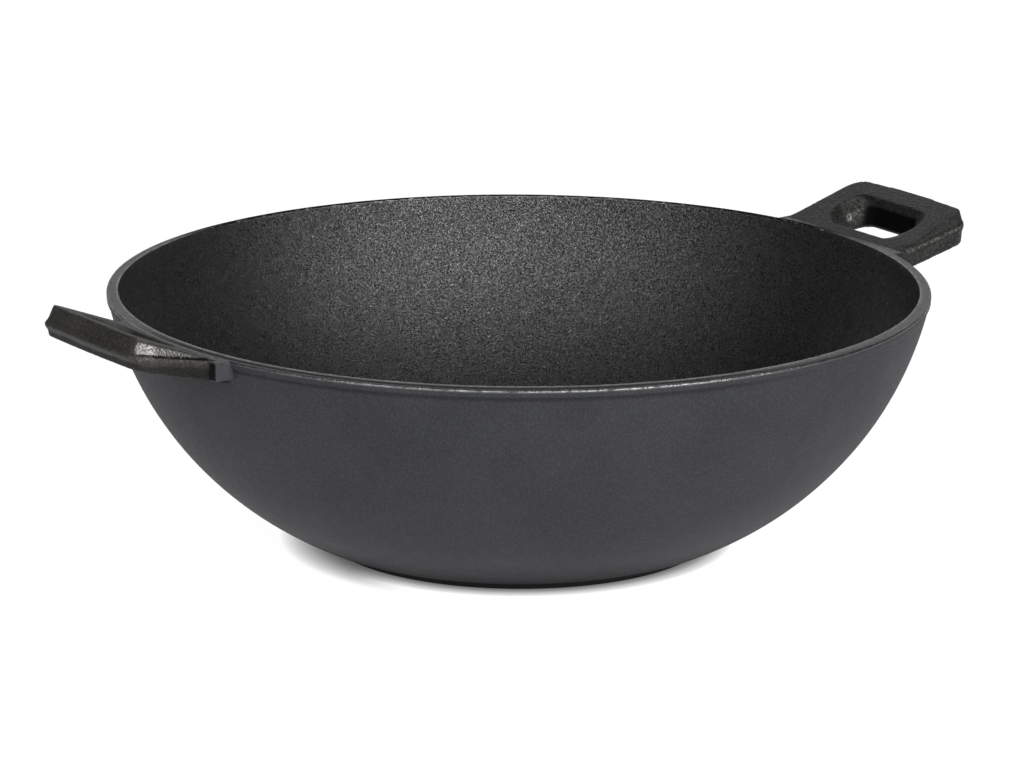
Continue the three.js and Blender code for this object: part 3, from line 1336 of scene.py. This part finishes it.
    def build(self) -> Piece:
        """Model and dress the handle: its loop joined with its root pad.

        Returns:
            The handle's object.
        """
        pad, piece = self.build_pad(), self.build_loop()
        pad.select_set(True)
        piece.select_set(True)
        bpy.context.view_layer.objects.active = piece
        bpy.ops.object.join()
        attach(piece, BODY)
        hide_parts(self.side.node)
        return piece

    def facet(self) -> tuple[Point, Point]:
        """A box round the upper bevel of the side that faces the front.

        Returns:
            Its lowest and its highest corner.
        """
        start, short = self.facet_ends
        outs = sorted(self.turned * (self.rim_radius + out) for out in (start, self.reach - short))
        low, high = zip(outs, self.facet_across, (self.rim_height + up for up in self.facet_up))
        return low, high

    def placed(self, rub: Rub) -> Rub:
        """A rubbed spot in the frame.

        Args:
            rub: The spot as the handle's sizes give it.

        Returns:
            The same spot with its centre in the frame.
        """
        out, across, drop = rub.centre
        x, y = self.turned * (self.rim_radius + out), self.turned * across
        return replace(rub, centre=(x, y, self.top(out) - drop))


@dataclass(frozen=True)
class SoftBox:
    """A soft studio light: a glowing square that faces the wok."""

    name: str
    azimuth: float
    elevation: float
    distance: float
    size: Flat
    radiance: float
    mirrored: bool = True

    def build(self, aim: Vector) -> Piece:
        """Place the light.

        Args:
            aim: The point that it faces.

        Returns:
            The light's object.
        """
        away = direction(self.azimuth, self.elevation)
        place, facing = aim + away * self.distance, away.to_track_quat("Z", "Y").to_euler()
        bpy.ops.object.light_add(type="AREA", location=place, rotation=facing)
        lamp = bpy.context.object
        lamp.name = self.name
        lamp.data.shape = "RECTANGLE"
        lamp.data.size, lamp.data.size_y = self.size
        lamp.data.energy = self.radiance * math.pi * self.size[0] * self.size[1]
        lamp.visible_camera = False
        lamp.visible_glossy = self.mirrored
        return lamp


@dataclass
class Studio:
    """The table, the light and the camera."""

    azimuth: float = -34.624
    elevation: float = 14.985
    roll: float = 0.283
    distance: float = 2.5327
    aim: Point = (0.0, 0.0, 0.057)
    lens: float = 202.5
    sensor: float = 36.0
    shift: Flat = (-0.00613, 0.025)
    sight: float = 50.0
    floor_size: float = 3.0
    floor_glow: float = 0.965
    floor_grey: float = 0.1
    floor_roughness: float = 0.9
    shadow: Flat = (5.5 * MM, 9.5 * MM)
    shadow_left: Flat = (-45 * MM, -75 * MM)
    samples: int = 8
    sky_glow: float = 0.015

    def camera(self) -> None:
        """Set up the camera at the photograph's angle."""
        back = direction(self.azimuth, self.elevation)
        a, turn = math.radians(self.azimuth), math.radians(self.roll)
        right = Vector((math.cos(a), math.sin(a), 0.0))
        up = back.cross(right)
        tilted = math.cos(turn) * right + math.sin(turn) * up
        upright = math.cos(turn) * up - math.sin(turn) * right
        place = Vector(self.aim) + back * self.distance
        bpy.ops.object.camera_add()
        camera = bpy.context.object
        camera.name = "camera"
        axes = Matrix((tilted, upright, back)).transposed().to_4x4()
        camera.matrix_world = Matrix.Translation(place) @ axes
        camera.data.lens = self.lens
        camera.data.sensor_width = self.sensor
        camera.data.shift_x, camera.data.shift_y = self.shift
        camera.data.clip_end = self.sight
        bpy.context.scene.camera = camera

    def openness(self, graph: NodeGraph, reach: float) -> Value:
        """How open the table is above a point of it, within some reach, from 0 to 1."""
        node = graph.add("ShaderNodeAmbientOcclusion", {"samples": self.samples}, {"Distance": reach})
        return Value(graph, node.outputs["AO"])

    def floor(self) -> None:
        """Lay a white glowing table under the wok, darker only close under the foot."""
        bpy.ops.object.select_all(action="DESELECT")
        bpy.ops.mesh.primitive_plane_add(size=self.floor_size)
        floor = bpy.context.object
        floor.name = "table"
        material = bpy.data.materials.new("table_white")
        graph = NodeGraph(material)
        narrow, wide = (self.openness(graph, reach) for reach in self.shadow)
        x, y, _ = graph.axes()
        a = math.radians(self.azimuth)
        left = (x * math.cos(a) + y * math.sin(a)).step(*self.shadow_left)
        shade = narrow + (wide - narrow) * left
        shader = graph.add(
            "ShaderNodeBsdfPrincipled",
            {},
            {
                "Base Color": (*[self.floor_grey] * 3, 1.0),
                "Roughness": self.floor_roughness,
                "Specular IOR Level": 0.0,
                "Emission Color": graph.mix(shade, BLACK, WHITE),
                "Emission Strength": self.floor_glow,
            },
        )
        graph.surface(shader.outputs[0])
        floor.data.materials.append(material)

    def sky(self) -> None:
        """Fill the room with an even white light, plain white to the camera."""
        world = bpy.data.worlds.new("studio")
        bpy.context.scene.world = world
        graph = NodeGraph(world)
        seen = graph.add("ShaderNodeLightPath").outputs["Is Camera Ray"]
        lights = [{"Color": (*WHITE, 1.0), "Strength": strength} for strength in (self.sky_glow, 1.0)]
        glow, plain = (graph.add("ShaderNodeBackground", {}, light).outputs[0] for light in lights)
        graph.add("ShaderNodeOutputWorld", {}, {"Surface": graph.blend(seen, glow, plain)})

    def build(self) -> None:
        """Set up the studio."""
        bpy.context.scene.view_settings.view_transform = "Standard"
        self.camera()
        self.floor()
        self.sky()
        boxes = [
            SoftBox("front_box", 4.0, 25.5, 1.8, (0.75, 0.75), 15.6),
            SoftBox("fill_box", -58.0, 27.0, 1.8, (0.75, 0.8), 9.3),
            SoftBox("right_box", 65.0, 6.0, 1.8, (0.9, 0.4), 10.0, False),
            SoftBox("left_box", -95.0, 6.0, 1.8, (0.9, 0.4), 1.6, False),
            SoftBox("top_box", 0.0, 88.0, 1.8, (2.0, 2.0), 0.14),
            SoftBox("back_panel", 150.0, 25.0, 2.5, (3.2, 1.0), 1.5),
        ]
        for box in boxes:
            box.build(Vector(self.aim))


def main() -> None:
    """Build the studio and the wok."""
    logging.basicConfig(level=logging.INFO, format="%(name)s: %(message)s")
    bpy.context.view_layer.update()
    Studio().build()
    right = LoopHandle(
        Side.RIGHT,
        root_half=(43 * MM, 42.4 * MM),
        end_half=(42 * MM, 40.4 * MM),
        corner=(8 * MM, 11.5 * MM),
        under_depth=9 * MM,
        top_end=1.2 * MM,
    )
    left = LoopHandle(
        Side.LEFT,
        root_half=(42.6 * MM, 38.8 * MM),
        end_half=(40.4 * MM, 40 * MM),
        corner=(9.5 * MM, 9.5 * MM),
        lift=0.8 * MM,
        parting_rise=math.radians(9.8),
        bead_end=1.5 * MM,
        under_depth=8.7 * MM,
        pad_half=43 * MM,
        softness=24,
        skin=WARM_SKIN,
        pad_skin=PAD_SKIN,
        ground=0.8,
        ridge=0.15,
        # Painted shade in the groove and on the lower side
        groove=0.9,
        low_side_shade=0.5,
    )
    pieces = [part.build() for part in (WokBowl(), FootRing(), right, left)]
    for piece in pieces:
        log.info("%s has %d faces", piece.name, len(piece.data.polygons))


if __name__ == "__main__":
    main()
